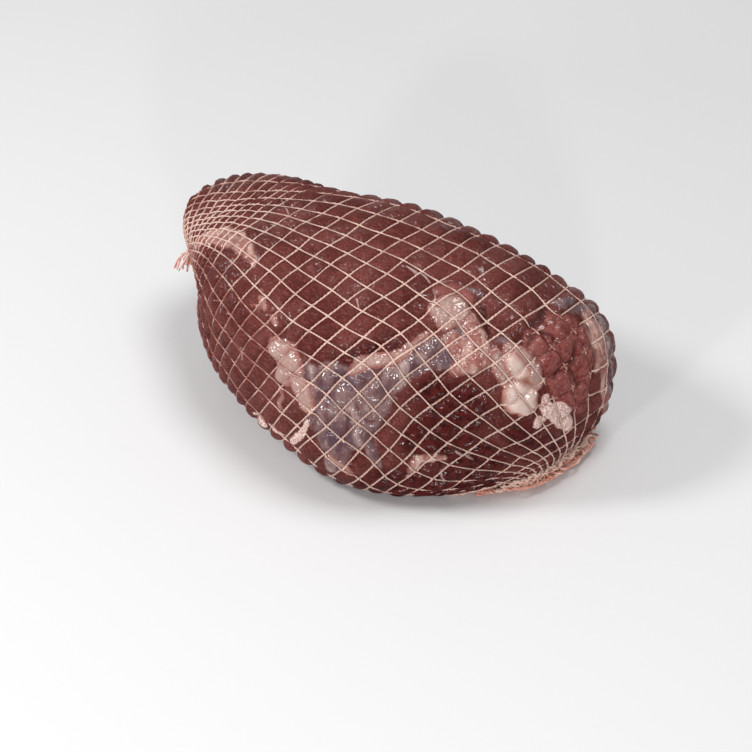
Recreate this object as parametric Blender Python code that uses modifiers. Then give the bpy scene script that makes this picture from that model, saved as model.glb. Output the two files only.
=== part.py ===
"""A raw beef shoulder roast held in a butcher's elastic net.

The meat is one soft form, flat where it stands, with a groove under every strand and a pillow
in every mesh of the net. The net is a lattice of leaning rings and lengthwise strands. It is
gathered in a tuft at the narrow end and in a rolled hem under the thick end.
Metres. +X runs toward the thick end, -Y is the near side, +Z is up, and the origin is the
middle of the footprint on the surface that the roast stands on.
"""
import math

import bmesh
import bpy
import numpy as np

COLLECTION = "netted_beef_roast"

# Middle of the whole thing in plan, seen from the point that the form below is laid out from.
CENTRE_X = -0.0158
CENTRE_Y = 0.0074

# Cross sections: x, middle y, half width, height of the widest line, rise above it, drop below it.
SECTIONS = np.array([
    (-0.110, -0.001, 0.033, 0.048, 0.028, 0.046),
    (-0.086, 0.000, 0.038, 0.046, 0.032, 0.048),
    (-0.050, 0.002, 0.046, 0.042, 0.043, 0.046),
    (-0.020, 0.004, 0.053, 0.040, 0.050, 0.046),
    (0.020, 0.008, 0.055, 0.037, 0.053, 0.046),
    (0.053, 0.020, 0.046, 0.036, 0.048, 0.042),
    (0.072, 0.031, 0.042, 0.035, 0.043, 0.038),
    (0.084, 0.032, 0.040, 0.034, 0.041, 0.036),
])
SECTION_POWER = 2.6
MIDDLE_X = -0.005

# Narrow end: the lower part stops short, the neck above it reaches out and leans to the far side.
NARROW_END_X = -0.092
NECK_REACH = 0.026
NECK_FROM_Z = 0.038
NECK_BLEND_Z = 0.030
NECK_LEAN = 0.009
NARROW_POWER = 3.8

# Thick end: blunt, and cut back in a curve on the near side.
THICK_END_X = 0.0765
THICK_CUT_Y = 0.028
THICK_CUT = 7.0
THICK_POWER = 7.0

# Net: ring origins from the narrow end to the thick end.
# place along the net, origin x, y, z, lean in degrees, cone angle in degrees
RING_TABLE = np.array([
    (0.00, -0.075, -0.015, 0.050, 0, 180),
    (0.12, -0.075, -0.009, 0.051, 5, 128),
    (0.25, -0.066, -0.001, 0.050, 18, 92),
    (0.40, -0.038, 0.002, 0.044, 30, 90),
    (0.60, 0.008, 0.008, 0.038, 36, 90),
    (0.76, 0.042, 0.016, 0.030, 42, 89),
    (0.88, 0.056, 0.023, 0.013, 58, 86),
    (1.00, 0.060, 0.026, 0.004, 75, 88),
])
RING_COUNT = 30
# Where the rings crowd together, toward both ends, only some of them are modelled.
MODELLED_RINGS = [1, 3, 5, 7] + list(range(9, 23)) + [24, 26, 28, 30]
STRAND_COUNT = 30
CROWDING = 0.34
CROWDING_AT = 0.33
END_TWIST = 0.05
END_TWIST_FROM = 0.62

# How far the net has slid down the near side, in strands, and been dragged along it, in rings.
SLIDE_AT = 12.5
SLIDE_WIDTH = 8.5
SLIDE_GAIN = (3.0, 16.5, 7.3)
SLIDE_LOSS = (1.6, 24.0, 4.0)
DRAG_FROM = (10.5, 6.5)
DRAG_TO = (29.0, 9.0)
DRAG_FIRST = (0.35, 10.0, 5.0)
DRAG_MORE = (1.0, 16.0, 6.0)
DRAG_END = 4.0

# Grooves, pillows and strands.
GROOVE_DEPTH = 0.0016
STRAND_LIFT = 0.00095
STRAND_THICKNESS = 0.0008
PILLOW_RATIO = 0.20
FOOT_RATIO = 0.20
FOOT_SMALLEST = 0.005
FLOOR_BAND = 0.0004

# Rolled hem along the foot of the thick end: plan angles seen from its centre.
HEM_CENTRE_X = 0.040
HEM_CENTRE_Y = 0.022
HEM_FROM_DEGREES = -66
HEM_TO_DEGREES = 74
HEM_POINTS = 27
HEM_RADIUS = 0.0023
HEM_HEIGHT = 0.0026
HEM_GAP = 0.0008

# Tuft of gathered net at the narrow end.
TUFT_GAP = 0.0012
TUFT_RISE = 0.0030
TUFT_DROP = 0.0120
TUFT_POINTS = 9
TUFT_RADIUS = 0.0031

MEAT_COLOUR = (0.150, 0.042, 0.034)
NET_COLOUR = (0.720, 0.560, 0.480)
STAINED_COLOUR = (0.640, 0.330, 0.250)


def smooth(t):
    t = np.clip(t, 0.0, 1.0)
    return t * t * (3.0 - 2.0 * t)


def table_curve(key, table, column):
    """Smooth curve through one column of a table, read at key."""
    keys = table[:, 0]
    values = table[:, column]
    slopes = np.gradient(values, keys)
    key = np.clip(key, keys[0], keys[-1])
    row = np.clip(np.searchsorted(keys, key) - 1, 0, len(keys) - 2)
    step = keys[row + 1] - keys[row]
    t = (key - keys[row]) / step
    start = (2 * t**3 - 3 * t**2 + 1) * values[row] + (t**3 - 2 * t**2 + t) * step * slopes[row]
    finish = (3 * t**2 - 2 * t**3) * values[row + 1] + (t**3 - t**2) * step * slopes[row + 1]
    return start + finish


def form_value(points):
    """Negative inside the roast's outer form, zero on it and positive outside."""
    x = points[..., 0]
    z = points[..., 2]
    lean = smooth((z - 0.025) / 0.030) * smooth((-0.050 - x) / 0.045)
    y = points[..., 1] - NECK_LEAN * lean
    middle, half_width, widest, rise, drop = (table_curve(x, SECTIONS, k) for k in range(1, 6))
    height = np.where(z > widest, rise, drop)
    narrow = NARROW_END_X - NECK_REACH * smooth((z - NECK_FROM_Z) / NECK_BLEND_Z)
    thick = THICK_END_X - THICK_CUT * np.maximum(THICK_CUT_Y - y, 0.0) ** 2
    toward_narrow = np.abs(np.minimum(x - MIDDLE_X, 0.0) / (narrow - MIDDLE_X))
    toward_thick = np.abs(np.maximum(x - MIDDLE_X, 0.0) / (thick - MIDDLE_X))
    section = np.abs((y - middle) / half_width) ** SECTION_POWER
    section = section + np.abs((z - widest) / height) ** SECTION_POWER
    solid = toward_narrow**NARROW_POWER + toward_thick**THICK_POWER + section - 1.0
    return np.maximum(solid, -z / 0.050)


def reach(origins, directions):
    """Points where rays from inside leave the form, found by halving."""
    near = np.zeros(origins.shape[:-1])
    far = np.full(origins.shape[:-1], 0.26)
    for _ in range(26):
        half = (near + far) / 2
        inside = form_value(origins + directions * half[..., None]) < 0
        near = np.where(inside, half, near)
        far = np.where(inside, far, half)
    points = origins + directions * near[..., None]
    points[..., 2] = np.maximum(points[..., 2], 0.0)
    return points


def strand_angle(around):
    """Angle round a ring for a strand's place round the net, in turns. Strands crowd in two bands."""
    angle = np.array(around, float)
    for _ in range(8):
        angle = around - CROWDING / (4 * math.pi) * np.sin(4 * math.pi * (angle - CROWDING_AT))
    return angle


def ramp(place, height, start, length):
    """Rises smoothly from nothing to a height over a length."""
    return height * smooth((place - start) / length)


def slid(along, around):
    """Where the net's lines have slid to, both from 0 to 1, for their even places on the net."""
    ring = along * RING_COUNT
    strand = np.mod(around * STRAND_COUNT, STRAND_COUNT)
    nearness = np.clip((strand - SLIDE_AT) / SLIDE_WIDTH, -1.0, 1.0)
    down = (ramp(ring, *SLIDE_GAIN) - ramp(ring, *SLIDE_LOSS)) * np.cos(math.pi / 2 * nearness) ** 2
    low = smooth((strand - DRAG_FROM[0]) / DRAG_FROM[1]) * smooth((DRAG_TO[0] - strand) / DRAG_TO[1])
    drag = (ramp(ring, *DRAG_FIRST) + ramp(ring, *DRAG_MORE)) * low
    drag = drag * smooth((RING_COUNT - ring) / DRAG_END)
    return along + drag / RING_COUNT, around + down / STRAND_COUNT


def net_points(along, around):
    """Points on the form at a place along the net and round it, both from 0 to 1."""
    along, around = slid(along, around)
    x, y, z, lean, cone = (table_curve(along, RING_TABLE, k) for k in range(1, 6))
    lean = np.radians(lean)
    cone = np.radians(cone)
    twist = END_TWIST * smooth((along - END_TWIST_FROM) / (1 - END_TWIST_FROM))
    turn = math.tau * (strand_angle(around) - twist)
    nothing = np.zeros_like(lean)
    axis = np.stack([np.cos(lean), nothing, -np.sin(lean)], -1)
    side = np.stack([nothing, nothing + 1.0, nothing], -1)
    up = np.cross(axis, side)
    spread = np.cos(turn)[..., None] * side + np.sin(turn)[..., None] * up
    directions = np.cos(cone)[..., None] * axis + np.sin(cone)[..., None] * spread
    return reach(np.stack([x, y, z], -1), directions)


def wrapped_sphere():
    """A sphere laid over the form: its parallels are the net's rings and its meridians the strands.

    Returns the mesh, each vertex's own outward direction and the two end vertices.
    """
    mesh = bmesh.new()
    rows = len(MODELLED_RINGS) + 1
    bmesh.ops.create_uvsphere(mesh, u_segments=STRAND_COUNT, v_segments=rows, radius=1.0)
    places = np.array([0] + MODELLED_RINGS + [RING_COUNT]) / RING_COUNT
    mesh.verts.ensure_lookup_table()
    start = np.array([vertex.co for vertex in mesh.verts])
    row = np.rint(np.arccos(np.clip(start[:, 2], -1, 1)) / math.pi * rows).astype(int)
    around = np.arctan2(start[:, 1], start[:, 0]) / math.tau % 1.0
    points = net_points(places[row], around)
    points[row == rows] = (RING_TABLE[-1, 1], RING_TABLE[-1, 2], 0.0)
    for vertex, point in zip(mesh.verts, points):
        vertex.co = point
    if mesh.calc_volume(signed=True) < 0:
        bmesh.ops.reverse_faces(mesh, faces=mesh.faces)
    mesh.normal_update()
    outward = {vertex: vertex.normal.copy() for vertex in mesh.verts}
    ends = [mesh.verts[k] for k in np.flatnonzero((row == 0) | (row == rows))]
    return mesh, outward, ends


def move_out(outward, distance):
    for vertex, direction in outward.items():
        vertex.co = vertex.co + direction * distance


def shift_to_origin(mesh):
    bmesh.ops.translate(mesh, verts=mesh.verts, vec=(-CENTRE_X, -CENTRE_Y, 0.0))


def material(name, colour, roughness):
    made = bpy.data.materials.new(name)
    made.use_nodes = True
    shader = made.node_tree.nodes["Principled BSDF"]
    shader.inputs["Base Color"].default_value = (*colour, 1.0)
    shader.inputs["Roughness"].default_value = roughness
    shader.inputs["Metallic"].default_value = 0.0
    return made


def add_object(name, data, surface, collection):
    thing = bpy.data.objects.new(name, data)
    data.materials.append(surface)
    collection.objects.link(thing)
    return thing


def flatten_feet(mesh, faces):
    """Gives each mesh of the net that lies on the floor a flat foot at floor height."""
    for face in faces:
        edge = min(edge.calc_length() for edge in face.edges)
        bmesh.ops.inset_individual(mesh, faces=[face], thickness=FOOT_RATIO * edge, use_even_offset=True)
        for vertex in face.verts:
            vertex.co.z = 0.0


def raise_pillows(mesh, faces):
    """Raises the middle of each face into a pillow as high as the mesh of the net is wide."""
    for face in faces:
        height = PILLOW_RATIO * min(edge.calc_length() for edge in face.edges)
        poked = bmesh.ops.poke(mesh, faces=[face], offset=height)
        centre = poked["verts"][0]
        centre.co.z = max(centre.co.z, 0.0)


def make_roast(collection):
    mesh, outward, ends = wrapped_sphere()
    floor_faces = []
    pillow_faces = []
    for face in mesh.faces:
        if any(vertex in ends for vertex in face.verts):
            continue
        low = max(vertex.co.z for vertex in face.verts) < FLOOR_BAND
        wide = min(edge.calc_length() for edge in face.edges) > FOOT_SMALLEST
        if low and wide:
            floor_faces.append(face)
        else:
            pillow_faces.append(face)
    move_out(outward, -GROOVE_DEPTH)
    flatten_feet(mesh, floor_faces)
    raise_pillows(mesh, pillow_faces)
    bmesh.ops.triangulate(mesh, faces=[face for face in mesh.faces if len(face.verts) > 3])
    shift_to_origin(mesh)
    data = bpy.data.meshes.new("roast")
    mesh.to_mesh(data)
    mesh.free()
    data.shade_smooth()
    return add_object("roast", data, material("meat", MEAT_COLOUR, 0.45), collection)


def make_netting(collection):
    mesh, outward, ends = wrapped_sphere()
    move_out(outward, STRAND_LIFT - GROOVE_DEPTH)
    bmesh.ops.delete(mesh, geom=ends, context="VERTS")
    shift_to_origin(mesh)
    data = bpy.data.meshes.new("netting")
    mesh.to_mesh(data)
    mesh.free()
    netting = add_object("netting", data, material("net", NET_COLOUR, 0.7), collection)
    wires = netting.modifiers.new("strands", "WIREFRAME")
    wires.thickness = STRAND_THICKNESS
    wires.offset = 0.0
    wires.use_even_offset = False
    wires.use_boundary = True
    wires.use_replace = True
    return netting


def tube(name, points, radii, largest, surface, collection):
    """A closed round tube through the points, as thick as its largest radius times each one's share."""
    curve = bpy.data.curves.new(name, "CURVE")
    curve.dimensions = "3D"
    curve.bevel_depth = largest
    curve.bevel_resolution = 1
    curve.use_fill_caps = True
    spline = curve.splines.new("POLY")
    spline.points.add(len(points) - 1)
    for place, point, radius in zip(spline.points, points, radii):
        place.co = (point[0] - CENTRE_X, point[1] - CENTRE_Y, point[2], 1.0)
        place.radius = radius
    return add_object(name, curve, surface, collection)


def make_hem(collection):
    """The rolled hem lies along the foot of the thick end and thins out at both ends."""
    share = np.linspace(0.0, 1.0, HEM_POINTS)
    angle = np.radians(HEM_FROM_DEGREES + (HEM_TO_DEGREES - HEM_FROM_DEGREES) * share)
    outward = np.stack([np.cos(angle), np.sin(angle), np.zeros(HEM_POINTS)], -1)
    centre = np.array([HEM_CENTRE_X, HEM_CENTRE_Y, HEM_HEIGHT + HEM_RADIUS])
    foot = reach(np.broadcast_to(centre, outward.shape), outward)
    thickness = 0.45 + 0.55 * smooth(4 * share) * smooth(4 * (1 - share))
    path = foot + outward * (HEM_RADIUS * thickness + HEM_GAP)[:, None]
    path[:, 2] = HEM_HEIGHT
    surface = material("stained_net", STAINED_COLOUR, 0.75)
    return tube("net_hem", path, thickness, HEM_RADIUS, surface, collection)


def make_tuft(collection):
    """The gathered net hangs as a short frayed tuft, thickest in its middle."""
    gather = net_points(np.zeros(1), np.zeros(1))[0]
    share = np.linspace(0.0, 1.0, TUFT_POINTS)
    thickness = 0.45 + 0.55 * np.sin(math.pi * share)
    path = np.empty((TUFT_POINTS, 3))
    path[:, 0] = gather[0] - TUFT_RADIUS - TUFT_GAP
    path[:, 1] = gather[1] - 0.25 * TUFT_DROP * share
    path[:, 2] = gather[2] + TUFT_RISE - TUFT_DROP * share
    surface = material("frayed_net", STAINED_COLOUR, 0.8)
    return tube("net_tuft", path, thickness, TUFT_RADIUS, surface, collection)


def clear_scene():
    for thing in list(bpy.data.objects):
        bpy.data.objects.remove(thing, do_unlink=True)


def main():
    clear_scene()
    collection = bpy.data.collections.new(COLLECTION)
    bpy.context.scene.collection.children.link(collection)
    make_roast(collection)
    make_netting(collection)
    make_hem(collection)
    make_tuft(collection)


main()
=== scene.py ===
"""Looks of the raw beef shoulder roast in its butcher's net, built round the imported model.

Places on the meat are given in net coordinates. Rings run from 0, the gather at the narrow end,
to 30, the hem on the floor under the thick end. Strands run round the net from 0 on the far side
through 7.5 on top and 15 on the near side to 22.5 underneath. Lengths are in metres, apart from
the tables of strokes and of layers, which are in millimetres.
"""
import math

import bpy
import numpy as np
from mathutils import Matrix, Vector


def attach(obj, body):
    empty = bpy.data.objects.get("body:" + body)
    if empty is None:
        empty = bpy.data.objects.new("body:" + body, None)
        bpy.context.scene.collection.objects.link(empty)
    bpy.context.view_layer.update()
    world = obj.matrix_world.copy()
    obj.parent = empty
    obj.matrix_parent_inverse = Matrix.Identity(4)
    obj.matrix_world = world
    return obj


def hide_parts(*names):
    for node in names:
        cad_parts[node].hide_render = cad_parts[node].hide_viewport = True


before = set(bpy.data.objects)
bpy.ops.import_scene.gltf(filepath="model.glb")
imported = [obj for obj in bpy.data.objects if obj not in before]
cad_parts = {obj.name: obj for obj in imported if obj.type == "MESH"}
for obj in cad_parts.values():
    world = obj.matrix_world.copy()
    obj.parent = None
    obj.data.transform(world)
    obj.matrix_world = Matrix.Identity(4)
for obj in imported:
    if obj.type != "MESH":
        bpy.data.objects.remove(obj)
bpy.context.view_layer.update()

MM = 0.001

# The form and the net over it, as in the part's source.
CENTRE = np.array([-0.0158, 0.0074, 0.0])
# Cross sections: x, middle y, half width, height of the widest line, rise above it, drop below it.
SECTIONS = np.array([
    (-0.110, -0.001, 0.033, 0.048, 0.028, 0.046),
    (-0.086, 0.000, 0.038, 0.046, 0.032, 0.048),
    (-0.050, 0.002, 0.046, 0.042, 0.043, 0.046),
    (-0.020, 0.004, 0.053, 0.040, 0.050, 0.046),
    (0.020, 0.008, 0.055, 0.037, 0.053, 0.046),
    (0.053, 0.020, 0.046, 0.036, 0.048, 0.042),
    (0.072, 0.031, 0.042, 0.035, 0.043, 0.038),
    (0.084, 0.032, 0.040, 0.034, 0.041, 0.036),
])
SECTION_POWER = 2.6
MIDDLE_X = -0.005
NARROW_END_X = -0.092
NECK_REACH = 0.026
NECK_FROM_Z = 0.038
NECK_BLEND_Z = 0.030
NECK_LEAN = 0.009
LEAN_FROM_Z = 0.025
LEAN_BLEND_Z = 0.030
LEAN_FROM_X = -0.050
LEAN_BLEND_X = 0.045
NARROW_POWER = 3.8
THICK_END_X = 0.0765
THICK_CUT_Y = 0.028
THICK_CUT = 7.0
THICK_POWER = 7.0
FOOT_DEPTH = 0.050
LONGEST_RAY = 0.26
HALVINGS = 15
# Origins of the net's rings: place along the net, x, y and z, lean and cone angle in degrees.
RING_TABLE = np.array([
    (0.00, -0.075, -0.015, 0.050, 0, 180),
    (0.12, -0.075, -0.009, 0.051, 5, 128),
    (0.25, -0.066, -0.001, 0.050, 18, 92),
    (0.40, -0.038, 0.002, 0.044, 30, 90),
    (0.60, 0.008, 0.008, 0.038, 36, 90),
    (0.76, 0.042, 0.016, 0.030, 42, 89),
    (0.88, 0.056, 0.023, 0.013, 58, 86),
    (1.00, 0.060, 0.026, 0.004, 75, 88),
])
RING_COUNT = 30
STRAND_COUNT = 30
CROWDING = 0.34
CROWDING_ROUNDS = 8
CROWDING_AT = 0.33
END_TWIST = 0.05
END_TWIST_FROM = 0.62
# How far the net has slid down the near side, in strands, and been dragged along it, in rings.
# Each rise is its height, the ring where it starts and its length.
SLIDE_AT = 12.5
SLIDE_WIDTH = 8.5
SLIDE_GAIN = (3.0, 16.5, 7.3)
SLIDE_LOSS = (1.6, 24.0, 4.0)
DRAG_FROM = (10.5, 6.5)
DRAG_TO = (29.0, 9.0)
DRAG_FIRST = (0.35, 10.0, 5.0)
DRAG_MORE = (1.0, 16.0, 6.0)
DRAG_END = 4.0

# Grid of the meat: net coordinates where the spacing changes and the steps to each mesh.
RING_STEPS = [(0, 7, 10), (7, 26, 11), (26, 30, 6)]
STRAND_STEPS = [(2, 20, 12), (20, 32, 7)]
GRID_PULL = 0.45

# Small shifts of the net's lines, in meshes, and how far from the two ends they fade.
WANDER_WIDE = 0.05
WANDER_FINE = 0.03
WANDER_FADE = 3

# How the net bites into the meat.
RING_PINCH = 0.0013
STRAND_PINCH = 0.0007
PINCH_SHARED = 0.35
PINCH_WIDTH = 0.0010
PILLOW_RISE = 0.0003
DOME_RISE = 0.00055
FULL_MESH = 0.0065
LEAST_MESH = 0.15
FLOOR_CLEAR = 0.0007

# The raw face swallows the net where its meshes are wide enough. Plump fat hardly lets it bite.
SUNK_FROM_MESH = 0.004
SUNK_BLEND = 0.002
RAW_HIDES_PINCH = 0.85
PLUMP_HIDES_PINCH = 0.70
RAW_FLATTENS_DOMES = 0.6
PLUMP_FLATTENS_DOMES = 0.75
SMOOTH_PARTS_CALM = 0.6
RAISED_UNDER_NET = 0.45
STROKE_BLEND = 2 * MM

# Layers of lumps on the meat: height, width and seed of each, in millimetres.
EDGE_LAYERS = [(0.50, 2.4, 21), (0.25, 1.1, 22)]
BROAD_LAYERS = [(0.50, 14, 1), (0.35, 6, 2)]
FINE_LAYERS = [(0.20, 1.6, 3), (0.24, 3.0, 4)]
FOLD_SIZE = 4.2 * MM
FOLD_DEPTH = 0.9 * MM
FOLD_WIDTH = 0.35
FOLD_BEND = 1.5 * MM
FOLD_BEND_SIZE = 4.0 * MM

# Rings added at the narrow end, where the real net's rings are half a mesh of the CAD's apart.
NECK_RINGS = (0.5, 1.5, 2.5, 3.5, 4.5, 5.5, 6.5)
NECK_SHARE = 0.5

# Twine: radius of one ply, distance of a ply from the middle and pitch.
RING_PLY = (0.00031, 0.00022, 0.0038)
STRAND_PLY = (0.00020, 0.00013, 0.0028)
RING_TWINE_STEP = 0.0009
STRAND_TWINE_STEP = 0.00075
LINE_POINTS = 481
LEAST_STEPS = 8
PLY_SIDES = 5
TWINE_CLEAR = 0.0002
FIRST_STRAND_RING = 0.3
TWINE_LIFT = 0.00035
CROSSING_LIFT = 0.0005
CROSSING_WIDTH = 0.0016
SURFACING_WIDTH = 0.0027
BURIED_DEPTH = 0.0016
BURIED_STAIN = 0.7
LEAST_STAIN = 0.15

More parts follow.
